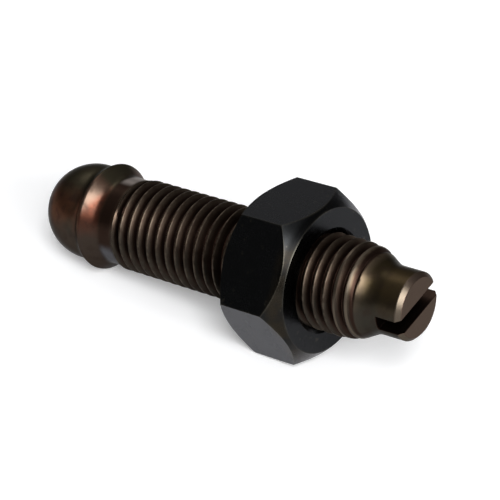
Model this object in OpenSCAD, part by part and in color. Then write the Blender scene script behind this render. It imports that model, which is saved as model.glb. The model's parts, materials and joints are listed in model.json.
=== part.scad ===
// Rocker arm adjusting screw with its hexagon lock nut, lying on a surface as it comes to rest.
// Both pieces are drawn about the screw's own axis, with the ball's centre at the origin and
// the slotted tip along +Z, and are then laid down on the nut's flat and the collar.
// Outlines are given as [radius, height along the axis].

/* [Ball head] */
// Diameter of the ball
ball_d = 8.3; // [7.6:0.1:9]
// How far the collar stands proud of the thread, on the radius
collar_lip = 0.62; // [0.4:0.02:1]
// Distance from the ball's centre to the collar's crest
collar_at = 1.95; // [1.4:0.05:2.6]
// Rounding of the collar's crest
collar_round = 0.3; // [0.2:0.05:0.5]
// Hollow radius where the ball meets the collar
hollow_r = 1.2; // [0.8:0.1:2]
// Angle between the collar's back and the axis
collar_back_angle = 30; // [15:1:40]

/* [Neck and thread] */
// Length of the plain neck between the collar and the thread
neck_len = 1.75; // [1:0.05:3]
// Depth of the neck below the thread's outside, on the radius
neck_cut = 0.2; // [0.05:0.025:0.3]
// Outside diameter of the thread, M8 x 1
thread_d = 8; // [7.5:0.1:10]
// Length of the full thread
thread_len = 22; // [20.5:0.5:32]
// Length over which the last turns of the thread taper down
lead_len = 2; // [1:0.1:3]
// Depth of that taper at its end, on the radius
lead_cut = 0.45; // [0.3:0.05:0.6]

/* [Slotted tip] */
// Diameter of the plain tip
tip_d = 5.65; // [4.6:0.05:6]
// Length of the plain tip
tip_len = 2.85; // [2.6:0.05:6]
// Angle between the shoulder behind the tip and the axis
shoulder_angle = 30; // [20:1:60]
// Hollow radius at the shoulder's foot
shoulder_hollow_r = 1.2; // [0.4:0.1:1.6]
// Chamfer round the end face
tip_chamfer = 0.3; // [0.1:0.05:0.5]
// Width of the screwdriver slot
slot_w = 1.3; // [0.8:0.05:1.8]
// Depth of the screwdriver slot
slot_depth = 2.2; // [1.2:0.1:2.5]
// Turn of the slot about the axis, away from level
slot_turn = 14; // [0:1:90]

/* [Lock nut] */
// Width across the flats of the nut
nut_af = 12.75; // [12:0.05:14]
// Thickness of the nut
nut_h = 6.2; // [5:0.1:8]
// Distance from the start of the thread to the nut
nut_from_start = 13.2; // [12:0.1:14]
// How far the chamfer reaches in from the middle of each flat
face_cut = 0.32; // [0.1:0.02:0.5]
// Angle between the chamfer and the nut's face
face_angle = 35; // [15:1:40]
// Depth of the countersink at each end of the bore, on the radius
sink_cut = 0.35; // [0.2:0.05:0.6]
// Running clearance between the thread and the nut, on the radius
nut_gap = 0.05; // [0.02:0.01:0.1]

/* [Hidden] */
$fn = 128;
// How far a cut or an overlap runs past the face it belongs to
overshoot = 1;

// Radii
ball_r = ball_d / 2;
thread_r = thread_d / 2;
collar_r = thread_r + collar_lip;
neck_r = thread_r - neck_cut;
lead_r = thread_r - lead_cut;
tip_r = tip_d / 2;
bore_r = thread_r + nut_gap;
sink_r = bore_r + sink_cut;
flat_r = nut_af / 2;
corner_r = flat_r / cos(30);
face_r = flat_r - face_cut;

// Centre of the collar's rounded crest, and where the collar's back leaves it
crest = [collar_r - collar_round, collar_at];
back_start = crest + collar_round * [cos(collar_back_angle), sin(collar_back_angle)];

// Stations along the axis, each reckoned from the one before
neck_start = back_start[1] + (back_start[0] - neck_r) / tan(collar_back_angle);
neck_end = neck_start + neck_len;
thread_start = neck_end + neck_cut;
thread_end = thread_start + thread_len;
lead_end = thread_end + lead_len;
shoulder_end = lead_end + (lead_r - tip_r) / tan(shoulder_angle);
tip_end = shoulder_end + tip_len;
nut_near = thread_start + nut_from_start;

// The hollow between ball and collar is one arc that touches both, from outside
to_ball = ball_r + hollow_r;
to_crest = collar_round + hollow_r;
crest_reach = norm(crest);
hollow_turn = acos((to_ball ^ 2 + crest_reach ^ 2 - to_crest ^ 2) / (2 * to_ball * crest_reach));
hollow_dir = atan2(crest[1], crest[0]) - hollow_turn;
hollow = to_ball * [cos(hollow_dir), sin(hollow_dir)];

// The shoulder's hollow touches the cone and the tip at equal distances from where they meet
foot = [tip_r, shoulder_end];
foot_reach = shoulder_hollow_r * tan(shoulder_angle / 2);
shoulder_hollow = foot + [shoulder_hollow_r, foot_reach];

// Height of the chamfer at the flats of the nut, and at a radius clear of its corners
chamfer_at_flat = face_cut * tan(face_angle);
clear_r = corner_r + overshoot;
chamfer_at_clear = (clear_r - face_r) * tan(face_angle);

// The nut touches the surface with the near edge of one flat, and the head leans on its
// collar or its ball, whichever comes down first
nut_contact = [flat_r, nut_near + chamfer_at_flat];
lean_on_collar = lean_on(crest, collar_round);
lean_on_ball = lean_on([0, 0], ball_r);
lay_angle = min(lean_on_collar, lean_on_ball);
axis_height = nut_contact[0] * cos(lay_angle) - nut_contact[1] * sin(lay_angle);
reach_ahead = tip_end * cos(lay_angle) + (tip_r - tip_chamfer) * sin(lay_angle);
centre_shift = (ball_r - reach_ahead) / 2;

// Angle between the axis and a line from the nut's contact that touches a round of the head
function lean_on(centre, radius) =
    let (apart = nut_contact - centre)
    atan2(apart[0], apart[1]) - asin(radius / norm(apart));

// Puts a piece from its own axis into its resting place
module lay_down() {
    translate([centre_shift, 0, axis_height])
        rotate([0, 90 - lay_angle, 0])
            children();
}

// The ball, the hollow behind it and the rounded crest of the collar
module head_outline() {
    circle(r = ball_r);
    difference() {
        polygon([[0, 0], hollow, crest, [0, collar_at]]);
        translate(hollow) circle(r = hollow_r);
    }
    translate(crest) circle(r = collar_round);
}

// The collar's back, the neck, the thread and its tapered end
module shank_outline() {
    polygon([
        [0, 0],
        crest,
        back_start,
        [neck_r, neck_start],
        [neck_r, neck_end],
        [thread_r, thread_start],
        [thread_r, thread_end],
        [lead_r, lead_end],
        [0, lead_end]
    ]);
}

// The shoulder behind the tip, the hollow at its foot and the chamfered end
module tip_outline() {
    difference() {
        polygon([
            [0, lead_end - overshoot],
            [lead_r, lead_end],
            foot - foot_reach * [-sin(shoulder_angle), cos(shoulder_angle)],
            shoulder_hollow,
            foot + [0, foot_reach],
            [tip_r, tip_end - tip_chamfer],
            [tip_r - tip_chamfer, tip_end],
            [0, tip_end]
        ]);
        translate(shoulder_hollow) circle(r = shoulder_hollow_r);
    }
}

// The whole screw turned from one bar
module turned_screw() {
    rotate_extrude()
        intersection() {
            union() {
                head_outline();
                shank_outline();
                tip_outline();
            }
            translate([0, -ball_r]) square([collar_r + overshoot, ball_r + tip_end]);
        }
}

// The slot cut across the end of the tip
module driver_slot() {
    rotate([0, 0, slot_turn])
        translate([-slot_w / 2, -tip_r - overshoot, tip_end - slot_depth])
            cube([slot_w, 2 * (tip_r + overshoot), slot_depth + overshoot]);
}

module adjusting_screw() {
    color("#4a3528")
        lay_down()
            difference() {
                turned_screw();
                driver_slot();
            }
}

// A hexagon bar with its corners turned down at both faces
module chamfered_hexagon() {
    intersection() {
        rotate([0, 0, 30]) cylinder(h = nut_h, r = corner_r, $fn = 6);
        rotate_extrude()
            polygon([
                [0, 0],
                [face_r, 0],
                [clear_r, chamfer_at_clear],
                [clear_r, nut_h - chamfer_at_clear],
                [face_r, nut_h],
                [0, nut_h]
            ]);
    }
}

// The bore and its two countersinks
module nut_bore() {
    translate([0, 0, -overshoot]) cylinder(h = nut_h + 2 * overshoot, r = bore_r);
    cylinder(h = sink_cut, r1 = sink_r, r2 = bore_r);
    translate([0, 0, nut_h - sink_cut]) cylinder(h = sink_cut, r1 = bore_r, r2 = sink_r);
}

module lock_nut() {
    color("#232627")
        lay_down()
            translate([0, 0, nut_near])
                difference() {
                    chamfered_hexagon();
                    nut_bore();
                }
}

adjusting_screw();
lock_nut();
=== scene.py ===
"""Rocker arm adjusting screw with its hexagon lock nut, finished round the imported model.

The classes hold their sizes in millimetres, measured along and across the screw's own axis, as a
maker's drawing does. ScrewAxis turns such places into metres in the model's frame.
"""

import json
import logging
import math
from dataclasses import dataclass
from enum import Enum
from functools import reduce
from typing import Any, Sequence

import bmesh
import bpy
import numpy as np
from bpy.types import ID, Material, Mesh, NodeSocket, Object, World
from mathutils import Euler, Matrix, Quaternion, Vector


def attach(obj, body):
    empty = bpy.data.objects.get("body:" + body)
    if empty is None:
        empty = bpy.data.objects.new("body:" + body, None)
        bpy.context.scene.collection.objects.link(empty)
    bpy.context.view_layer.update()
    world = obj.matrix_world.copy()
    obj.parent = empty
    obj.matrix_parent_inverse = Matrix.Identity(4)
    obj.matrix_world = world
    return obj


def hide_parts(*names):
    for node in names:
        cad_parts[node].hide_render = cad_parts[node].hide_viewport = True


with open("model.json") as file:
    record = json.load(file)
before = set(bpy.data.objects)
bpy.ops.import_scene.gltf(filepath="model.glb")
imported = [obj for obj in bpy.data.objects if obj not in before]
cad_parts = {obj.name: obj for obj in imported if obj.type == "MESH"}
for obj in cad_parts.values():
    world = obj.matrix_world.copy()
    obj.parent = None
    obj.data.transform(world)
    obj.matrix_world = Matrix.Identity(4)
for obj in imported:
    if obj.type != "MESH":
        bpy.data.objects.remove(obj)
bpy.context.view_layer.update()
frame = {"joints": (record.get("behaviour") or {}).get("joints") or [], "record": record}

log = logging.getLogger("adjusting_screw")

MM = 0.001
FULL_TURN = 2 * math.pi
# Half the angle that one side of a hexagon takes up
HALF_SIDE = math.pi / 6
# Points closer than this are one, in metres
WELD = 2e-7
# An edge that bends more than this is sharp or broken
SHARP_BEND = math.radians(28)
# How strongly the grain of a metal tips its normal, and how deep it is in metres
BUMP_STRENGTH = 0.2
BUMP_DEPTH = 0.003 * MM

Array = np.ndarray
# Red, green, blue and 1
Colour = tuple[float, float, float, float]
# Where a change sets in and where it is full
Reach = tuple[float, float]
# Where a change sets in, is full, starts to fade and is gone
Span = tuple[float, float, float, float]
# A noise's cells in a millimetre, its detail and its roughness
Noise = tuple[float, float, float]


class Body(Enum):
    """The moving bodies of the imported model."""

    SCREW = "screw"
    NUT = "nut"


class Node(Enum):
    """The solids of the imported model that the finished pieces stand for."""

    SCREW = "adjusting_screw"
    NUT = "lock_nut"


class Slot(Enum):
    """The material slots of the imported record."""

    BRONZE_OXIDE = "bronze_oxide_steel"
    BLACK_OXIDE = "black_oxide_steel"


class Mark(Enum):
    """What a vertex carries for its material, from 0 to 1."""

    CREST = "crest"
    WEAR = "wear"


def mount_at(name: str) -> Array:
    """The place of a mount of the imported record, in metres."""
    return np.array(next(m["pos_m"] for m in frame["record"]["mounts"] if m["name"] == name))


@dataclass(frozen=True)
class ScrewAxis:
    """The screw's own axis, which rises a little because the nut is wider than the collar.

    Stations are millimetres along the axis from the ball's centre, and angles go round it from
    the upper side towards -Y, which is right-handed about the axis.
    """

    origin: Array
    along: Array
    up: Array
    side: Array

    @classmethod
    def from_frame(cls) -> "ScrewAxis":
        """Reads the axis from the nut's joint and the ball's mount.

        Returns:
            The axis, from the ball's centre.
        """
        along = np.array(frame["joints"][0]["axis"], float)
        along /= np.linalg.norm(along)
        side = np.array([0.0, -1.0, 0.0])
        return cls(mount_at("ball_head"), along, np.cross(side, along), side)

    def place(self, station: Array, radius: Array, angle: Array) -> Array:
        """Places points about the axis.

        Formula: origin + station * along + radius * (cos(angle) * up + sin(angle) * side).

        Args:
            station: Distances along the axis, in millimetres.
            radius: Distances from the axis, in millimetres.
            angle: Angles about the axis, in radians.

        Returns:
            Points in metres, with a last dimension of 3.
        """
        station, radius, angle = np.broadcast_arrays(station, radius, angle)
        across = np.cos(angle)[..., None] * self.up + np.sin(angle)[..., None] * self.side
        return self.origin + MM * (station[..., None] * self.along + radius[..., None] * across)

    def station_of(self, points: Array) -> Array:
        """The stations of points in the model's frame, in millimetres."""
        return (points - self.origin) @ self.along / MM


def smooth_step(value: Array, start: float, end: float) -> Array:
    """A rise from 0 at start to 1 at end: t * t * (3 - 2 * t), with t the share of the way."""
    share = np.clip((value - start) / (end - start), 0, 1)
    return share * share * (3 - 2 * share)


def soft_min(first: Array, second: Array | float, rounding: float) -> Array:
    """The lower of two values, rounded off: (a + b - sqrt((a - b)^2 + rounding^2)) / 2."""
    return (first + second - np.sqrt((first - second) ** 2 + rounding**2)) / 2


def soft_max(first: Array, second: Array | float, rounding: float) -> Array:
    """The higher of two values, rounded off in the same way."""
    return -soft_min(-first, -second, rounding)


def arc(centre: Array, radius: float, start: float, end: float, steps: int) -> Array:
    """Stations and radii along an arc: centre + radius * (sin(turn), cos(turn))."""
    # A turn counts from straight away from the axis towards the tip
    turn = np.linspace(start, end, steps + 1)
    return centre + radius * np.stack([np.sin(turn), np.cos(turn)], axis=1)


def turn_towards(start: Array, end: Array) -> float:
    """The turn, as arc() counts it, of the way from one outline point to another."""
    station, radius = end - start
    return math.atan2(station, radius)


def filleted(before: Array, corner: Array, after: Array, radius: float, steps: int) -> Array:
    """Rounds an outline's corner with an arc that touches both of its sides.

    Formula: the arc's centre lies on the line that halves the corner, at the arc's radius over
    the sine of half the corner's angle.

    Args:
        before: A point on the side that comes in.
        corner: The corner itself.
        after: A point on the side that goes out.
        radius: The arc's radius.
        steps: How many steps it takes.

    Returns:
        The arc's points, as station and radius.
    """
    coming, going = ((end - corner) / np.linalg.norm(end - corner) for end in (before, after))
    half = math.acos(np.clip(coming @ going, -1, 1)) / 2
    middle = (coming + going) / np.linalg.norm(coming + going)
    centre = corner + middle * radius / math.sin(half)
    reach = radius / math.tan(half)
    start = turn_towards(centre, corner + coming * reach)
    end = turn_towards(centre, corner + going * reach)
    end = start + (end - start + math.pi) % FULL_TURN - math.pi
    return arc(centre, radius, start, end, steps)


class Skin:
    """Grids of points that are welded into one mesh."""

    def __init__(self) -> None:
        """Starts an empty skin."""
        self.points: list[Array] = []
        self.faces: list[Array] = []
        self.marks: list[Array] = []

    def add(self, grid: Array, mark: Array | float = 0.0, inward: bool = False) -> None:
        """Adds a grid of points, each four neighbours of which make a face.

        Args:
            grid: Points in metres, as rows, columns and 3. The faces look away from the axis
                where the rows go towards the tip and the columns go round with the angle.
            mark: The value that each vertex carries for the material.
            inward: Whether the faces look the other way.
        """
        rows, columns = grid.shape[:2]
        index = sum(map(len, self.points)) + np.arange(rows * columns).reshape(rows, columns)
        corners = [index[:-1, :-1], index[:-1, 1:], index[1:, 1:], index[1:, :-1]]
        if inward:
            corners.reverse()
        self.points.append(grid.reshape(-1, 3))
        self.faces.append(np.stack(corners, axis=-1).reshape(-1, 4))
        self.marks.append(np.broadcast_to(mark, (rows, columns)).reshape(-1))

    def mesh(self, name: str, mark: Mark) -> Mesh:
        """Makes the mesh, with the grids welded where their points meet.

        Args:
            name: The mesh's name.
            mark: The attribute that takes the vertices' values.

        Returns:
            The welded mesh.
        """
        mesh = bpy.data.meshes.new(name)
        mesh.from_pydata(np.concatenate(self.points), [], np.concatenate(self.faces))
        attribute = mesh.attributes.new(mark.value, "FLOAT", "POINT")
        attribute.data.foreach_set("value", np.concatenate(self.marks).astype(np.float32))
        work = bmesh.new()
        work.from_mesh(mesh)
        bmesh.ops.remove_doubles(work, verts=work.verts, dist=WELD)
        work.to_mesh(mesh)
        work.free()
        mesh.validate()
        return mesh


def edge_angles(mesh: Mesh) -> Array:
    """The angle between the two faces of each edge.

    Formula: the arc cosine of the dot product of the two faces' normals.

    Args:
        mesh: A mesh.

    Returns:
        One angle in radians for each edge, and 0 where an edge hasn't two faces.
    """
    totals = np.empty(len(mesh.polygons), np.int32)
    mesh.polygons.foreach_get("loop_total", totals)
    normals = np.empty(len(mesh.polygons) * 3, np.float32)
    mesh.polygons.foreach_get("normal", normals)
    edges = np.empty(len(mesh.loops), np.int32)
    mesh.loops.foreach_get("edge_index", edges)
    order = np.argsort(edges)
    normals = normals.reshape(-1, 3)[np.repeat(np.arange(len(totals)), totals)[order]]
    edges = edges[order]
    pairs = np.nonzero(edges[1:] == edges[:-1])[0]
    angles = np.zeros(len(mesh.edges))
    angles[edges[pairs]] = np.arccos(np.clip((normals[pairs] * normals[pairs + 1]).sum(1), -1, 1))
    return angles


def edge_middles(mesh: Mesh) -> Array:
    """The middle of each edge.

    Formula: the mean of the edge's two ends.

    Args:
        mesh: A mesh.

    Returns:
        One point in metres for each edge.
    """
    points = np.empty(len(mesh.vertices) * 3, np.float32)
    mesh.vertices.foreach_get("co", points)
    ends = np.empty(len(mesh.edges) * 2, np.int32)
    mesh.edges.foreach_get("vertices", ends)
    return points.reshape(-1, 3)[ends.reshape(-1, 2)].mean(axis=1)


def add_object(name: str, data: ID) -> Object:
    """Makes an object and links it to the scene.

    Args:
        name: The object's name.
        data: Its mesh, light or camera.

    Returns:
        The object, at the origin.
    """
    thing = bpy.data.objects.new(name, data)
    bpy.context.scene.collection.objects.link(thing)
    return thing


def finished_piece(mesh: Mesh, bevelled: Array, width: float) -> Object:
    """Gives a mesh smooth shading, sharp edges where it bends, and broken edges where asked.

    Args:
        mesh: The mesh, whose name the object takes.
        bevelled: Which edges are broken if they bend.
        width: How wide a broken edge is, in millimetres.

    Returns:
        The object, at the origin.
    """
    bends = edge_angles(mesh) > SHARP_BEND
    mesh.shade_smooth()
    weights = mesh.attributes.new("bevel_weight_edge", "FLOAT", "EDGE")
    weights.data.foreach_set("value", (bends & bevelled).astype(np.float32))
    sharp = mesh.attributes.new("sharp_edge", "BOOLEAN", "EDGE")
    sharp.data.foreach_set("value", bends & ~bevelled)
    piece = add_object(mesh.name, mesh)
    bevel = piece.modifiers.new("broken_edges", "BEVEL")
    bevel.limit_method = "WEIGHT"
    bevel.width = width * MM
    bevel.segments = 2
    bevel.harden_normals = True
    return piece


@dataclass(frozen=True)
class Thread:
    """A right-hand metric thread, cut on a shank or in a bore.

    Its ridge is a triangle of 60 degrees with its top and foot cut off and rounded. Offsets
    along the axis are in pitches from the middle of the nearest ridge.
    """

    pitch: float = 1.0
    outside: float = 4.0
    crest_at: float = -0.14
    crest_half: float = 1 / 16
    root: float = 3.385
    bore: float = 3.46
    play: float = 0.03
    rounding: float = 0.03
    flank_slope: float = math.sqrt(3)
    samples: tuple[float, ...] = (0.0, 0.035, 0.06, 0.085, 0.12, 0.25, 0.37, 0.41, 0.45, 0.5)

    def offsets(self) -> Array:
        """Where a ridge is sampled on both sides of its middle, close together at its bends."""
        half = np.array(self.samples)
        return np.concatenate([-half[-2:0:-1], half])

    def flank(self, offset: Array) -> Array:
        """The radius of the uncut triangle, whose flanks meet the outside at the crest's edges."""
        return self.outside + (self.crest_half - np.abs(offset)) * self.pitch * self.flank_slope

    def ridge(self, offset: Array, foot: float, play: float = 0.0) -> Array:
        """The radius of the flanks, cut off at the outside, moved out by the play and cut at the foot."""
        topped = soft_min(self.flank(offset), self.outside, self.rounding)
        return soft_max(topped + play, foot, self.rounding)

    def sweep(self, start: float, end: float, angles: Array) -> tuple[Array, Array]:
        """Rows that follow the helix, and end on a plain ring at both ends.

        Formula: station = crest_at + (turn + angle / full turn) * pitch, held between start and
        end, where turn takes each sampled offset of each ridge.

        Args:
            start: The station of the first ring.
            end: The station of the last ring.
            angles: The angle of each column, in radians.

        Returns:
            The stations and the offsets from the nearest ridge, both as rows by columns.
        """
        around = angles / FULL_TURN
        first = math.floor((start - self.crest_at) / self.pitch - around.max()) - 1
        last = math.ceil((end - self.crest_at) / self.pitch - around.min()) + 1
        turns = (np.arange(first, last + 1)[:, None] + self.offsets()).ravel()
        offset = (turns + 0.5) % 1 - 0.5
        station = self.crest_at + (turns[:, None] + around) * self.pitch
        held = np.clip(station, start, end)
        nearest = (held - self.crest_at) / self.pitch - around
        return held, np.where(held != station, (nearest + 0.5) % 1 - 0.5, offset[:, None])


@dataclass
class AdjustingScrew:
    """The screw: one turned piece with a ball, a collar, a threaded shank and a slotted tip."""

    axis: ScrewAxis
    thread: Thread = Thread()
    ball_r: float = 4.15
    collar_r: float = 4.62
    collar_at: float = 1.95
    collar_round: float = 0.3
    hollow_r: float = 1.2
    collar_back: float = math.radians(36)
    neck_r: float = 3.8
    neck_len: float = 1.82
    neck_fillet: float = 1.0
    run_out: float = 0.3
    thread_end: float = 27.4
    lead_len: float = 1.5
    lead_r: float = 3.8
    shoulder: float = math.radians(29)
    shoulder_round: float = 0.05
    below_root: float = 0.1
    foot_r: float = 2.2
    tip_r: float = 2.825
    tip_len: float = 2.847
    tip_chamfer: float = 0.36
    slot_w: float = 1.3
    slot_depth: float = 2.2
    slot_turn: float = math.radians(14)
    edge_break: float = 0.05
    ball_steps: int = 44
    bend_steps: int = 10
    neck_steps: int = 5
    back_steps: int = 4
    prong_steps: int = 62
    slot_steps: int = 10
    chord_steps: int = 10
    cap_shares: tuple[float, ...] = (0.15, 0.5, 1.0)

    def __post_init__(self) -> None:
        """Works out the stations along the axis, each from the one before."""
        self.crest = np.array([self.collar_at, self.collar_r - self.collar_round])
        away = np.array([math.sin(self.collar_back), math.cos(self.collar_back)])
        self.back_start = self.crest + self.collar_round * away
        run = (self.back_start[1] - self.neck_r) / math.tan(self.collar_back)
        self.neck_start = self.back_start[0] + run
        self.neck_end = self.neck_start + self.neck_len
        self.thread_start = self.neck_end + self.thread.outside - self.neck_r
        self.lead_end = self.thread_end + self.lead_len
        cut = self.lead_r - self.thread.root + self.below_root
        self.thread_stop = self.lead_end + cut / math.tan(self.shoulder)
        self.foot = self.lead_end + (self.lead_r - self.tip_r) / math.tan(self.shoulder)
        self.tip_end = self.foot + self.tip_len
        self.slot_floor = self.tip_end - self.slot_depth
        # Half the angle of the tip's rim that the slot leaves on each side
        self.prong_half = math.pi / 2 - math.asin(self.slot_w / 2 / self.tip_r)

    def columns(self) -> Array:
        """Divides the full turn into columns, with the slot's four edges among them.

        Returns:
            The angle of each column, in radians.
        """
        prong = np.linspace(-self.prong_half, self.prong_half, self.prong_steps + 1)[:-1]
        gap = np.linspace(self.prong_half, math.pi - self.prong_half, self.slot_steps + 1)[:-1]
        one = np.concatenate([prong, gap]) + self.slot_turn
        return np.concatenate([one, one + math.pi, [one[0] + FULL_TURN]])

    def head_outline(self) -> Array:
        """The ball, the hollow behind it, the collar's crest and back, and the neck.

        Formula: the hollow's arc touches the ball and the crest from outside, so the law of
        cosines on the three centres gives its own centre.

        Returns:
            The outline's points, as station and radius.
        """
        to_ball = self.ball_r + self.hollow_r
        to_crest = self.collar_round + self.hollow_r
        reach = np.linalg.norm(self.crest)
        opening = math.acos((to_ball**2 + reach**2 - to_crest**2) / (2 * to_ball * reach))
        lean = turn_towards(np.zeros(2), self.crest) - opening
        hollow = to_ball * np.array([math.sin(lean), math.cos(lean)])
        ball = arc(np.zeros(2), self.ball_r, -math.pi / 2, lean, self.ball_steps)
        from_ball = turn_towards(hollow, np.zeros(2)) % FULL_TURN
        to_lip = turn_towards(hollow, self.crest) % FULL_TURN
        dip = arc(hollow, self.hollow_r, from_ball, to_lip, self.bend_steps)
        lip = arc(self.crest, self.collar_round, to_lip - math.pi, self.collar_back, self.bend_steps)
        corner = np.array([self.neck_start, self.neck_r])
        neck = np.array([self.neck_end, self.neck_r])
        blend = filleted(self.back_start, corner, neck, self.neck_fillet, self.neck_steps)
        middle = np.linspace(self.back_start, blend[0], self.back_steps + 1)[1:-1]
        return np.concatenate([ball, dip[1:], lip[1:], middle, blend, [neck]])

    def blank(self, station: Array | float) -> Array:
        """The shank before the thread is rolled.

        Formula: the lowest of the chamfer behind the neck, the thread's outside, the lead's
        taper and the shoulder's cone, with the shoulder's corner rounded off.

        Args:
            station: Distances along the axis, in millimetres.

        Returns:
            The radius at each of them.
        """
        chamfer = self.neck_r + np.maximum(station - self.neck_end, 0)
        full = np.minimum(chamfer, self.thread.outside)
        fall = (self.thread.outside - self.lead_r) / self.lead_len
        lead = self.thread.outside - (station - self.thread_end) * fall
        cone = self.lead_r - (station - self.lead_end) * math.tan(self.shoulder)
        return np.minimum(full, soft_min(lead, cone, self.shoulder_round))

    def threaded(self) -> tuple[Array, Array, Array]:
        """The threaded stretch, from the neck to the shoulder.

        Formula: radius = the lower of the blank and the ridge, where the ridge's depth fades
        out over the run-out behind the neck, and the shoulder's cone cuts through its last turn.

        Returns:
            Stations, radii and how close to the crest each point lies.
        """
        station, offset = self.thread.sweep(self.neck_end, self.thread_stop, self.columns())
        depth = self.thread.outside - self.thread.ridge(offset, self.thread.root)
        depth = depth * smooth_step(station, self.neck_end, self.thread_start + self.run_out)
        radius = np.minimum(self.blank(station), self.thread.outside - depth)
        height = 1 - depth / (self.thread.outside - self.thread.root)
        return station, radius, height

    def tip_outline(self) -> Array:
        """The shoulder's cone, the hollow at its foot and the tip up to the slot's floor.

        Returns:
            The outline's points, as station and radius.
        """
        start = np.array([self.thread_stop, self.blank(self.thread_stop)])
        corner = np.array([self.foot, self.tip_r])
        floor = np.array([self.slot_floor, self.tip_r])
        hollow = filleted(start, corner, floor, self.foot_r, self.bend_steps)
        return np.concatenate([[start], hollow, [floor]])

    def prong(self, turn: float) -> Array:
        """One side of the slotted tip, from the slot's floor to its closed end.

        Formula: each row is a D, with an arc of radius r between the angles +-acos(h / r) and a
        chord at the height h of half the slot's width. The rows follow the tip and its chamfer,
        and then close on the end face.

        Args:
            turn: The angle of the prong's middle.

        Returns:
            The prong's points in metres.
        """
        rows = np.array([
            [self.slot_floor, self.tip_r],
            [(self.slot_floor + self.tip_end) / 2, self.tip_r],
            [self.tip_end - self.tip_chamfer, self.tip_r],
            [self.tip_end, self.tip_r - self.tip_chamfer],
        ])
        station, radius = rows[:, :1], rows[:, 1:]
        half = self.slot_w / 2
        reach = np.arccos(half / radius)
        share = np.linspace(-1, 1, self.prong_steps + 1)
        rim = np.stack([radius * np.cos(reach * share), radius * np.sin(reach * share)], axis=-1)
        along = np.linspace(1, -1, self.chord_steps + 1)[1:]
        wall = np.stack([np.full_like(along * radius, half), radius * np.sin(reach) * along], axis=-1)
        loops = np.concatenate([rim, wall], axis=1)
        middle = np.array([(half + self.tip_r - self.tip_chamfer) / 2, 0.0])
        closing = np.array(self.cap_shares)[:, None, None]
        cap = loops[-1] + (middle - loops[-1]) * closing
        loops = np.concatenate([loops, cap])
        station = np.concatenate([station, np.full((len(closing), 1), self.tip_end)])
        angle = turn + np.arctan2(loops[..., 1], loops[..., 0])
        return self.axis.place(station, np.linalg.norm(loops, axis=-1), angle)

    def floor_grid(self) -> Array:
        """The slot's floor: rows across it, whose ends lie on the tip's rim.

        Formula: across = r * cos(v) and along = r * sin(v) * share, with v from one edge of the
        slot to the other and the share from 1 to -1.

        Returns:
            The floor's points in metres.
        """
        turn = np.linspace(self.prong_half, math.pi - self.prong_half, self.slot_steps + 1)
        share = np.linspace(1, -1, self.chord_steps + 1)[:, None]
        across = self.tip_r * np.cos(turn)
        length = self.tip_r * np.sin(turn) * share
        angle = self.slot_turn + np.arctan2(length, across)
        return self.axis.place(np.array(self.slot_floor), np.hypot(across, length), angle)

    def build(self) -> Object:
        """Makes the screw.

        Returns:
            The finished piece, without its material.
        """
        skin = Skin()
        for outline in (self.head_outline(), self.tip_outline()):
            skin.add(self.axis.place(outline[:, :1], outline[:, 1:], self.columns()))
        station, radius, height = self.threaded()
        skin.add(self.axis.place(station, radius, self.columns()), height)
        for turn in (self.slot_turn, self.slot_turn + math.pi):
            skin.add(self.prong(turn))
        skin.add(self.floor_grid())
        mesh = skin.mesh("turned_screw", Mark.CREST)
        bevelled = self.axis.station_of(edge_middles(mesh)) > self.slot_floor - self.edge_break
        return finished_piece(mesh, bevelled, self.edge_break)


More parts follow.
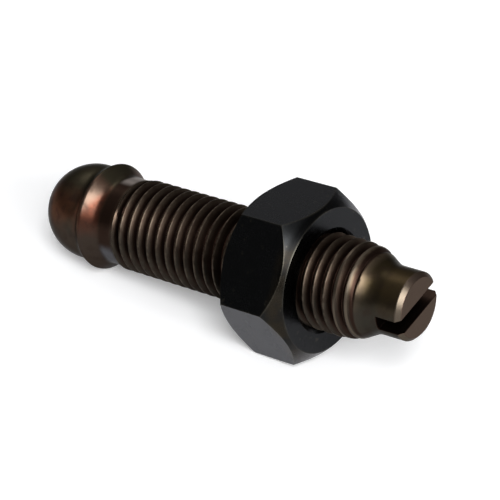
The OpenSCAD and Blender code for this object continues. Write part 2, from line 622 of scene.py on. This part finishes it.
@dataclass
class LockNut:
    """The lock nut: a hexagon with its corners turned down at both faces and a threaded bore."""

    axis: ScrewAxis
    thread: Thread = Thread()
    flat_r: float = 6.375
    thickness: float = 6.2
    face_r: float = 6.055
    near_angle: float = math.radians(35)
    far_angle: float = math.radians(46)
    sink_r: float = 4.4
    edge_break: float = 0.07
    wear_reach: float = 0.3
    side_steps: int = 20
    face_steps: int = 6
    cone_steps: int = 4
    flat_shares: tuple[float, ...] = (0.02, 0.05, 0.1, 0.2, 0.35, 0.5, 0.65, 0.8, 0.9, 0.95, 0.98)

    def __post_init__(self) -> None:
        """Reads the place of the ball-side face from its mount."""
        self.near = self.axis.station_of(mount_at("seat_face"))
        self.far = self.near + self.thickness

    def columns(self) -> Array:
        """The angle of each column, with the six corners among them."""
        return HALF_SIDE + np.linspace(0, FULL_TURN, 6 * self.side_steps + 1)

    def outer_rows(self) -> tuple[Array, Array, Array]:
        """Both faces, both chamfers and the six flats between them.

        Formula: the hexagon's radius is that of the flat over the cosine of the angle from its
        middle. On a chamfer the station rises by the tangent of its angle for each millimetre
        of radius, so its edge follows the arc where a cone meets a flat. Wear falls off
        exponentially with the distance to the nearest edge.

        Returns:
            Stations, radii and wear, as rows by columns.
        """
        # The angle from the middle of the nearest flat
        off_middle = (self.columns() + HALF_SIDE) % (2 * HALF_SIDE) - HALF_SIDE
        rim = self.flat_r / np.cos(off_middle)
        face = np.linspace(self.sink_r, self.face_r, self.face_steps + 1)[:, None] + 0 * rim
        share = np.linspace(0, 1, self.cone_steps + 1)[1:, None]
        cone = self.face_r + (rim - self.face_r) * share
        rise = (cone - self.face_r) * math.tan(self.near_angle)
        fall = self.thickness - (cone - self.face_r) * math.tan(self.far_angle)
        edge, far_edge = rise[-1:], fall[-1:]
        flat = edge + (far_edge - edge) * np.array(self.flat_shares)[:, None]
        corner_gap = self.flat_r * np.abs(math.tan(HALF_SIDE) - np.abs(np.tan(off_middle)))
        flat_gap = np.minimum(np.minimum(flat - edge, far_edge - flat), corner_gap)
        cone_gap = np.minimum(cone - self.face_r, rim - cone)
        face_gap = self.face_r - face
        station = np.concatenate([0 * face, rise, flat, fall[::-1], 0 * face + self.thickness])
        radius = np.concatenate([face, cone, rim + 0 * flat, cone[::-1], face[::-1]])
        gap = np.concatenate([face_gap, cone_gap, flat_gap, cone_gap[::-1], face_gap[::-1]])
        return self.near + station, radius, np.exp(-gap / self.wear_reach)

    def bore_rows(self) -> tuple[Array, Array]:
        """The threaded bore and its two countersinks.

        Formula: radius = the highest of the groove and two cones of 45 degrees.

        Returns:
            Stations and radii, as rows by columns.
        """
        station, offset = self.thread.sweep(self.near, self.far, self.columns())
        sinks = self.sink_r - np.minimum(station - self.near, self.far - station)
        groove = self.thread.ridge(offset, self.thread.bore, self.thread.play)
        return station, np.maximum(groove, sinks)

    def build(self) -> Object:
        """Makes the nut.

        Returns:
            The finished piece, without its material.
        """
        skin = Skin()
        station, radius, wear = self.outer_rows()
        skin.add(self.axis.place(station, radius, self.columns()), wear)
        skin.add(self.axis.place(*self.bore_rows(), self.columns()), inward=True)
        mesh = skin.mesh("hexagon_nut", Mark.WEAR)
        arms = edge_middles(mesh) - self.axis.origin
        radii = np.linalg.norm(np.cross(arms, self.axis.along), axis=1) / MM
        return finished_piece(mesh, radii > self.sink_r - self.edge_break, self.edge_break)


@dataclass(frozen=True)
class Wire:
    """One output socket. Arithmetic on it adds Math nodes."""

    graph: "Graph"
    socket: NodeSocket

    def _math(self, operation: str, *values: "Wire | float") -> "Wire":
        """Adds one Math node on these values."""
        return self.graph.add("ShaderNodeMath", dict(enumerate(values)), operation=operation)

    def __add__(self, other: "Wire | float") -> "Wire":
        """The sum."""
        return self._math("ADD", self, other)

    __radd__ = __add__

    def __mul__(self, other: "Wire | float") -> "Wire":
        """The product."""
        return self._math("MULTIPLY", self, other)

    __rmul__ = __mul__

    def __neg__(self) -> "Wire":
        """The value with its sign changed."""
        return self._math("MULTIPLY", self, -1.0)

    def __sub__(self, other: "Wire | float") -> "Wire":
        """The difference."""
        return self._math("SUBTRACT", self, other)

    def __rsub__(self, other: float) -> "Wire":
        """The difference the other way round, such as 1 - mask."""
        return self._math("SUBTRACT", other, self)

    def highest(self, other: "Wire | float") -> "Wire":
        """The higher of the two."""
        return self._math("MAXIMUM", self, other)

    def rise(self, reach: Reach) -> "Wire":
        """A rise from 0 at the reach's first value to 1 at its second."""
        inputs = {0: self, 1: reach[0], 2: reach[1], 3: 0.0, 4: 1.0}
        return self.graph.add("ShaderNodeMapRange", inputs, clamp=True, interpolation_type="SMOOTHSTEP")

    def band(self, span: Span) -> "Wire":
        """A rise to 1 between the span's first two values, and a fall between its last two."""
        return self.rise(span[:2]) * (1 - self.rise(span[2:]))

    def noise(self, look: Noise) -> "Wire":
        """Cloudy noise from 0 to 1 over this place in millimetres."""
        inputs = dict(zip(("Vector", "Scale", "Detail", "Roughness"), (self, *look)))
        return self.graph.add("ShaderNodeTexNoise", inputs)

    def split(self) -> "tuple[Wire, ...]":
        """This place's three coordinates."""
        parts = self.graph.add("ShaderNodeSeparateXYZ", {0: self}).socket.node.outputs
        return tuple(Wire(self.graph, part) for part in parts)


class Graph:
    """The node tree of one material or world."""

    def __init__(self, owner: Material | World) -> None:
        """Empties the tree of its owner.

        Args:
            owner: The new material or world.
        """
        owner.use_nodes = True
        self.owner = owner
        self.tree = owner.node_tree
        self.tree.nodes.clear()

    def add(self, kind: str, inputs: dict[Any, Any], output: int | str = 0, **settings: Any) -> Wire:
        """Adds one node.

        Args:
            kind: The node's type.
            inputs: Its sockets, by name or number, each with a value or a Wire.
            output: Which of its outputs is wanted.
            settings: Its own settings, which are set first.

        Returns:
            That output, or the first input of a node that ends the tree.
        """
        node = self.tree.nodes.new(kind)
        for name, value in settings.items():
            setattr(node, name, value)
        for name, value in inputs.items():
            if isinstance(value, Wire):
                self.tree.links.new(value.socket, node.inputs[name])
            else:
                node.inputs[name].default_value = value
        return Wire(self, node.outputs[output] if len(node.outputs) else node.inputs[0])

    def place(self) -> Wire:
        """Object coordinates, in metres."""
        return self.add("ShaderNodeTexCoord", {}, "Object")

    def carried(self, mark: Mark) -> Wire:
        """What the vertices carry for the material, from 0 to 1."""
        return self.add("ShaderNodeAttribute", {}, "Fac", attribute_name=mark.value)

    def mix(self, share: Wire | float, first: Any, second: Any) -> Wire:
        """A colour between two."""
        return self.add("ShaderNodeMix", {0: share, 6: first, 7: second}, 2, data_type="RGBA")

    def coats(self, base: Any, layers: Sequence[tuple[Wire, Colour]]) -> Any:
        """A base under coats, each with its share, from 0 to 1 over the surface, and its colour."""
        return reduce(lambda under, coat: self.mix(coat[0], under, coat[1]), layers, base)

    def seen(self) -> Wire:
        """1 for rays from the camera and for those mirrored or let through, and 0 for the rest."""
        kinds = ("Camera", "Glossy", "Transmission")
        return reduce(Wire.highest, (self.add("ShaderNodeLightPath", {}, f"Is {k} Ray") for k in kinds))

    def end(self, surface: Wire, kind: str = "Material") -> None:
        """Ends the tree with its output."""
        self.add(f"ShaderNodeOutput{kind}", {"Surface": surface})

    def end_metal(self, colour: Wire, roughness: Wire, height: Wire, edge: Colour) -> None:
        """Ends the tree with a metal.

        Args:
            colour: What it mirrors head-on.
            roughness: How rough it is.
            height: Its grain, from 0 to 1.
            edge: What it mirrors at a glance.
        """
        grain = {"Strength": BUMP_STRENGTH, "Distance": BUMP_DEPTH, "Height": height}
        inputs = {"Base Color": colour, "Metallic": 1.0, "Roughness": roughness, "Specular Tint": edge}
        normal = {"Normal": self.add("ShaderNodeBump", grain)}
        self.end(self.add("ShaderNodeBsdfPrincipled", inputs | normal))


def own_place(graph: Graph, axis: ScrewAxis) -> Wire:
    """Object coordinates, laid along the screw's axis.

    Formula: the place in millimetres, turned level about Y, less the turned place of the ball.

    Args:
        graph: The material's graph.
        axis: The screw's axis.

    Returns:
        The place in millimetres, with X along the axis from the ball's centre.
    """
    level = (0.0, math.asin(axis.along[2]), 0.0)
    inputs = {
        "Vector": graph.place(),
        "Location": -(Euler(level).to_matrix() @ Vector(axis.origin / MM)),
        "Rotation": level,
        "Scale": (1 / MM, 1 / MM, 1 / MM),
    }
    return graph.add("ShaderNodeMapping", inputs, vector_type="POINT")


@dataclass(frozen=True)
class BronzeOxide:
    """The screw's finish: steel with a thin brown oxide, paler on the thread's crests, with painted
    highlights, shade, a glint and a floor reflection laid into its colour.

    A name in _from says where a colour sets in, one in _until where it ends, and one in _span both.
    """

    head: Colour = (0.085, 0.037, 0.021, 1.0)
    red: Colour = (0.075, 0.022, 0.016, 1.0)
    olive: Colour = (0.038, 0.033, 0.021, 1.0)
    # Painted highlight colours for the collar's back: cream at its top, copper below
    highlight_cream: Colour = (0.098, 0.067, 0.05, 1.0)
    highlight_copper: Colour = (0.082, 0.028, 0.017, 1.0)
    shank: Colour = (0.05, 0.038, 0.028, 1.0)
    # A painted highlight colour for the shoulder's cone, and painted shade for the hollow at its foot
    shoulder: Colour = (0.088, 0.066, 0.044, 1.0)
    foot: Colour = (0.024, 0.018, 0.009, 1.0)
    tip: Colour = (0.041, 0.029, 0.014, 1.0)
    dark: Colour = (0.024, 0.016, 0.012, 1.0)
    # Painted shade colour for the underside and the ball's far end
    under: Colour = (0.031, 0.029, 0.024, 1.0)
    # A painted reflection of the floor
    floor_reflection: Colour = (0.09, 0.091, 0.099, 1.0)
    # The grooves' colour, which is also painted shade in the neck and the slot
    groove: Colour = (0.02, 0.011, 0.008, 1.0)
    # Pale steel: wear at nicks on the crests, and painted highlights on the thread's last turns and the
    # tip's chamfer
    pale_steel: Colour = (0.09, 0.073, 0.055, 1.0)
    # A painted glint's colour
    painted_glint: Colour = (0.4, 0.35, 0.32, 1.0)
    face: Colour = (0.082, 0.059, 0.046, 1.0)
    edge: Colour = (0.5, 0.5, 0.5, 1.0)

    # Stations, the first of them counted towards the ball's end
    ball_end_shade_from: Reach = (1.6, 3.4)
    shank_from: Reach = (3.6, 5.6)
    shoulder_highlight_from: Reach = (28.4, 28.8)
    foot_shade_from: Reach = (29.5, 30.3)
    tip_from: Reach = (31.0, 31.8)
    slot_from: Reach = (31.2, 31.3)
    face_from: Reach = (33.44, 33.48)
    last_crest_highlight_from: Reach = (27.5, 28.3)
    back_span: Span = (1.7, 2.1, 3.3, 3.7)
    neck_span: Span = (3.2, 3.8, 4.6, 5.1)
    glint_span: Span = (3.4, 3.9, 4.6, 5.0)
    thread_span: Span = (5.0, 5.4, 29.5, 29.7)
    rim_span: Span = (33.0, 33.17, 33.44, 33.48)

    # Heights above or below the axis, distances to its near or far side, and the slot's turn and wall
    top_shade_from: Reach = (2.4, 3.9)
    glint_above_from: Reach = (2.0, 3.2)
    underside_shade_from: Reach = (-2.2, 0.3)
    floor_reflection_from: Reach = (0.2, 1.4)
    highlight_near_from: Reach = (0.6, 2.2)
    rim_highlight_from: Reach = (0.5, 1.5)
    glint_from: Reach = (-0.6, 0.3)
    slot_turn: float = AdjustingScrew.slot_turn
    slot_wall: Reach = (0.65, 0.7)
    highlight_top_until: Reach = (-0.6, 1.0)
    highlight_top_slope: float = 1.2

    # Noises, and the shares of them that make patches
    clouds: Noise = (0.45, 4.0, 0.55)
    patches: Noise = (1.1, 3.0, 0.5)
    grain: Noise = (14.0, 2.0, 0.6)
    nicks: Noise = (2.6, 3.0, 0.5)
    rings: Noise = (1.0, 3.0, 0.6)
    drift: float = 1.5
    red_from: Reach = (0.5, 0.7)
    olive_from: Reach = (0.5, 0.65)
    dark_from: Reach = (0.45, 0.75)
    dull_until: Reach = (0.35, 0.6)
    nicks_from: Reach = (0.4, 0.65)

    # Heights up the thread's ridge
    flank_until: Reach = (0.3, 0.85)
    crest_from: Reach = (0.8, 0.98)

    # Turning marks in a millimetre along the axis and round it, and how rough the metal is
    ring_scale: tuple[float, float, float] = (22.0, 0.6, 0.6)
    roughness: float = 0.35
    patch_rough: float = 0.12
    grain_rough: float = 0.1

    def material(self, axis: ScrewAxis) -> Material:
        """Makes the material.

        Args:
            axis: The screw's axis, round which the marks run.

        Returns:
            The material.
        """
        graph = Graph(bpy.data.materials.new("bronze_oxide"))
        place = own_place(graph, axis)
        clouds = place.noise(self.clouds)
        patches = place.noise(self.patches)
        grain = place.noise(self.grain)
        nicks = place.noise(self.nicks).rise(self.nicks_from)
        crest = graph.carried(Mark.CREST)
        station, away, height = place.split()
        near = -away
        wander = self.drift * (clouds - 0.5)
        below = wander - height
        above = -below
        # Where the painted highlight lies: the collar's back on its near side only, cream towards the top
        back = station.band(self.back_span) * near.rise(self.highlight_near_from)
        highlight_cream = back * (1 - (below + self.highlight_top_slope * station).rise(self.highlight_top_until))
        # The neck's band, which takes painted shade and a painted reflection of the floor
        neck = station.band(self.neck_span)
        # Where a painted glint lies: the neck's far upper side
        glint = station.band(self.glint_span) * away.rise(self.glint_from)
        rim = station.band(self.rim_span)
        # Painted shade inside the slot, on its floor and walls
        across = math.cos(self.slot_turn) * height - math.sin(self.slot_turn) * away
        slot = station.rise(self.slot_from) * (1 - across.highest(-across).rise(self.slot_wall))
        threaded = station.band(self.thread_span)
        # Real nicks of wear, and a painted highlight on the thread's last turns
        pale_steel = (0.5 * nicks).highest(station.rise(self.last_crest_highlight_from))
        colour = graph.coats(self.head, [
            (0.6 * patches.rise(self.red_from), self.red),
            (0.5 * clouds.rise(self.olive_from), self.olive),
            # Painted shade: darker olive on top of the head and collar
            (above.rise(self.top_shade_from), self.olive),
            # Painted highlight on the collar's back: copper, then cream towards its top
            (back, self.highlight_copper),
            (highlight_cream, self.highlight_cream),
            # Painted shade towards the ball's far end
            ((-station).rise(self.ball_end_shade_from), self.under),
            ((station + wander).rise(self.shank_from), self.shank),
            # Painted highlight: a brighter band on the shoulder's cone, then painted shade in the hollow
            # at its foot
            (station.rise(self.shoulder_highlight_from), self.shoulder),
            (station.rise(self.foot_shade_from), self.foot),
            (station.rise(self.tip_from), self.tip),
            # Painted shade: darker and greyer on the underside
            (0.85 * below.rise(self.underside_shade_from), self.under),
            (0.6 * patches.rise(self.dark_from), self.dark),
            # Painted shade in the neck behind the collar
            (0.95 * neck, self.groove),
            # A painted reflection of the floor, bluish grey, on the neck's lower side
            (neck * below.rise(self.floor_reflection_from), self.floor_reflection),
            # A painted glint on the neck's far upper side
            (glint * above.rise(self.glint_above_from), self.painted_glint),
            (rim, self.face),
            # A painted highlight on the near side of the tip's chamfer
            (rim * near.rise(self.rim_highlight_from), self.pale_steel),
            (station.rise(self.face_from), self.face),
            # Painted shade inside the slot
            (0.9 * slot, self.groove),
            # Darker down the flanks into the grooves: oxide held in the grooves, and painted shade on the
            # flanks
            (threaded * (1 - crest.rise(self.flank_until)), self.groove),
            (0.5 * threaded * (1 - patches.rise(self.dull_until)), self.groove),
            # Paler crests: wear at nicks, and a painted highlight on the last turns
            (threaded * pale_steel * crest.rise(self.crest_from), self.pale_steel),
            (0.3 * grain, self.dark),
        ])
        rough = self.roughness + self.patch_rough * (patches - 0.5) + self.grain_rough * (grain - 0.5)
        # Fine rings round the axis, which a turning tool leaves
        scaled = graph.add("ShaderNodeVectorMath", {0: place, 1: self.ring_scale}, operation="MULTIPLY")
        marks = scaled.noise(self.rings) + 0.5 * grain
        graph.end_metal(colour, rough, marks, self.edge)
        return graph.owner


@dataclass(frozen=True)
class BlackOxide:
    """The nut's finish: steel with a black oxide, with a little wear along its edges and painted shade on
    one chamfer.
    """

    black: Colour = (0.012, 0.0125, 0.013, 1.0)
    # A near-black for painted shade on the upper stretch of the chamfer on the tip's side
    chamfer_shade: Colour = (0.002, 0.002, 0.002, 1.0)
    pale_steel: Colour = (0.05, 0.046, 0.036, 1.0)
    brown: Colour = (0.021, 0.0175, 0.013, 1.0)
    edge: Colour = (0.8, 0.8, 0.82, 1.0)

    # Stations and heights of the chamfer on the tip's side, and of the painted shade on its upper stretch
    chamfer_span: Span = (23.4, 24.2, 24.7, 24.79)
    chamfer_until: Reach = (4.4, 5.4)
    chamfer_shade_span: Span = (24.1, 24.5, 24.77, 24.79)
    chamfer_shade_from: Reach = (1.5, 3.5)

    # Noises, and the shares of them that make patches
    clouds: Noise = (0.6, 4.0, 0.55)
    grain: Noise = (12.0, 2.0, 0.6)
    specks: Noise = (1.7, 3.0, 0.5)
    brown_from: Reach = (0.3, 0.6)
    specks_from: Reach = (0.66, 0.72)
    rubbed_from: Reach = (0.75, 1.1)

    # How rough the metal is
    roughness: float = 0.26
    cloud_rough: float = 0.12
    grain_rough: float = 0.08

    def material(self, axis: ScrewAxis) -> Material:
        """Makes the material.

        Args:
            axis: The nut's axis, along which its stations run.

        Returns:
            The material.
        """
        graph = Graph(bpy.data.materials.new("black_oxide"))
        place = own_place(graph, axis)
        clouds = place.noise(self.clouds)
        grain = place.noise(self.grain)
        specks = place.noise(self.specks).rise(self.specks_from)
        rubbed = (graph.carried(Mark.WEAR) + 0.5 * (clouds - 0.5)).rise(self.rubbed_from)
        station, _, height = place.split()
        chamfer = station.band(self.chamfer_span) * (1 - height.rise(self.chamfer_until))
        # Painted shade: the upper stretch of the chamfer on the tip's side darkened towards black
        chamfer_shade = station.band(self.chamfer_shade_span) * height.rise(self.chamfer_shade_from)
        colour = graph.coats(self.black, [
            (chamfer * clouds.rise(self.brown_from), self.brown),
            (0.7 * chamfer_shade, self.chamfer_shade),
            ((0.6 * rubbed).highest(0.5 * specks), self.pale_steel),
        ])
        rough = self.roughness + self.cloud_rough * (clouds - 0.5) + self.grain_rough * (grain - 0.5)
        graph.end_metal(colour, rough, grain, self.edge)
        return graph.owner


def direction(azimuth: float, elevation: float) -> Vector:
    """A step of 1 from the part, by degrees from -Y towards +X and degrees above the floor."""
    turn, rise = math.radians(azimuth), math.radians(elevation)
    return Vector((math.sin(turn) * math.cos(rise), -math.cos(turn) * math.cos(rise), math.sin(rise)))


@dataclass(frozen=True)
class CameraView:
    """The photograph's viewpoint: level, with the picture's middle on a point of the floor."""

    aim: tuple[float, float, float] = (-4.6, 8.65, 0.0)
    azimuth: float = 37.463
    elevation: float = 32.085
    distance: float = 191.89
    lens: float = 157.31
    sensor: float = 36.0
    nearest: float = 0.01
    farthest: float = 20.0

    def build(self) -> None:
        """Makes the camera."""
        back = direction(self.azimuth, self.elevation)
        data = bpy.data.cameras.new("camera")
        data.lens = self.lens
        data.sensor_width = self.sensor
        data.clip_start = self.nearest
        data.clip_end = self.farthest
        camera = add_object("camera", data)
        camera.location = MM * (Vector(self.aim) + self.distance * back)
        camera.rotation_euler = (-back).to_track_quat("-Z", "Y").to_euler()
        bpy.context.scene.camera = camera


@dataclass(frozen=True)
class SoftLamp:
    """A rectangular lamp that looks at the middle of the part, and is rolled about its own middle.

    Angles are in degrees, lengths in metres, and the radiance is in watts for each square metre
    and steradian.
    """

    name: str
    azimuth: float
    elevation: float
    distance: float
    width: float
    height: float
    roll: float
    radiance: float

    def build(self) -> None:
        """Makes the lamp. Its power is pi * width * height * radiance."""
        back = direction(self.azimuth, self.elevation)
        data = bpy.data.lights.new(self.name, "AREA")
        data.shape = "RECTANGLE"
        data.size = self.width
        data.size_y = self.height
        data.energy = math.pi * self.width * self.height * self.radiance
        lamp = add_object(self.name, data)
        lamp.location = self.distance * back
        rolled = Quaternion((0.0, 0.0, 1.0), math.radians(self.roll))
        lamp.rotation_euler = ((-back).to_track_quat("-Z", "Y") @ rolled).to_euler()
        lamp.visible_camera = lamp.visible_glossy = False


@dataclass(frozen=True)
class Card:
    """A curved card that only the metal sees, such as the dim room round the table.

    Its shade runs from the first value at the floor's level to the second one overhead.
    """

    name: str
    azimuths: tuple[float, float]
    elevations: tuple[float, float]
    shades: tuple[float, float]
    reach: float = 1.4
    turn_steps: int = 48
    rise_steps: int = 12

    def build(self) -> None:
        """Makes the card: a patch of a sphere round the part.

        Formula: reach * (cos(rise) * sin(turn), -cos(rise) * cos(turn), sin(rise)).
        """
        turn = np.radians(np.linspace(*self.azimuths, self.turn_steps + 1))
        rise = np.radians(np.linspace(*self.elevations, self.rise_steps + 1))[:, None]
        level, height = self.reach * np.cos(rise), self.reach * np.sin(rise) + 0 * turn
        skin = Skin()
        skin.add(np.stack([level * np.sin(turn), -level * np.cos(turn), height], axis=-1))
        card = add_object(self.name, skin.mesh(self.name, Mark.WEAR))
        card.visible_camera = card.visible_diffuse = False
        card.visible_shadow = card.visible_transmission = False
        graph = Graph(bpy.data.materials.new(self.name))
        share = graph.place().split()[2] * (1 / self.reach)
        low, high = ((shade, shade, shade, 1.0) for shade in self.shades)
        graph.end(graph.add("ShaderNodeEmission", {"Color": graph.mix(share, low, high)}))
        card.data.materials.append(graph.owner)


@dataclass(frozen=True)
class Studio:
    """A pale floor, a plain pale surround, lamps that light them and cards that the metal mirrors."""

    floor_half: float = 1.5
    floor_colour: Colour = (0.95, 0.953, 0.965, 1.0)
    white: Colour = (1.0, 1.0, 1.0, 1.0)
    floor_lift: float = 0.2
    far_lift: float = 0.8
    far_from: Reach = (0.1, 0.8)
    surround: float = 0.34
    lamps: tuple[SoftLamp, ...] = (
        SoftLamp("key_lamp", 44.0, 42.0, 1.2, width=0.42, height=0.64, roll=0.0, radiance=13.0),
        SoftLamp("side_lamp", 70.0, 24.0, 1.2, width=0.55, height=0.33, roll=-15.0, radiance=12.5),
    )
    cards: tuple[Card, ...] = (
        Card("dim_room", (-180.0, 180.0), (1.0, 90.0), shades=(0.06, 0.6)),
        Card("back_wall", (-178.0, -122.0), (12.0, 50.0), shades=(0.3, 0.8), reach=1.35),
        Card("window", (28.0, 59.0), (28.0, 68.0), shades=(17.0, 17.0), reach=1.3),
        Card("side_window", (59.0, 90.0), (13.0, 45.0), shades=(15.0, 15.0), reach=1.3),
        Card("far_window", (-114.0, -99.0), (44.0, 64.0), shades=(2.4, 2.4), reach=1.3),
        Card("roof_window", (-140.0, -104.0), (46.0, 68.0), shades=(3.0, 3.0), reach=1.31),
    )

    def build_floor(self) -> None:
        """Makes the floor, which the views and the metal see a little lighter than it is lit."""
        half = self.floor_half
        mesh = bpy.data.meshes.new("floor")
        corners = [(-half, -half, 0.0), (half, -half, 0.0), (half, half, 0.0), (-half, half, 0.0)]
        mesh.from_pydata(corners, [], [(0, 1, 2, 3)])
        graph = Graph(bpy.data.materials.new("floor_paper"))
        diffuse = graph.add("ShaderNodeBsdfDiffuse", {"Color": self.floor_colour})
        away = graph.add("ShaderNodeVectorMath", {0: graph.place()}, "Value", operation="LENGTH")
        strength = self.floor_lift + self.far_lift * away.rise(self.far_from)
        lift = graph.add("ShaderNodeEmission", {"Strength": strength * graph.seen()})
        graph.end(graph.add("ShaderNodeAddShader", {0: diffuse, 1: lift}))
        mesh.materials.append(graph.owner)
        add_object("floor", mesh)

    def build_surround(self) -> None:
        """Makes the world: white where it is seen, and dimmer as a light."""
        graph = Graph(bpy.data.worlds.new("surround"))
        strength = self.surround + (1 - self.surround) * graph.seen()
        inputs = {"Color": self.white, "Strength": strength}
        graph.end(graph.add("ShaderNodeBackground", inputs), "World")
        bpy.context.scene.world = graph.owner

    def build(self) -> None:
        """Makes the whole studio."""
        self.build_floor()
        self.build_surround()
        for piece in self.lamps + self.cards:
            piece.build()


def hand_over(piece: Object, material: Material, body: Body, node: Node) -> None:
    """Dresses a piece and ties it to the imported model.

    Args:
        piece: The finished piece.
        material: Its material.
        body: The body that it moves with.
        node: The solid that it stands for.
    """
    piece.data.materials.append(material)
    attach(piece, body.value)
    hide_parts(node.value)
    log.info("%s rides on %s: %d faces", piece.name, body.value, len(piece.data.polygons))


def main() -> None:
    """Builds the pieces, the studio and the camera in order."""
    logging.basicConfig(level=logging.INFO, format="%(name)s: %(message)s")
    axis = ScrewAxis.from_frame()
    screw, nut = AdjustingScrew(axis).build(), LockNut(axis).build()
    hand_over(screw, BronzeOxide().material(axis), Body.SCREW, Node.SCREW)
    hand_over(nut, BlackOxide().material(axis), Body.NUT, Node.NUT)
    Studio().build()
    CameraView().build()
    bpy.context.scene.view_settings.view_transform = "Standard"


if __name__ == "__main__":
    main()
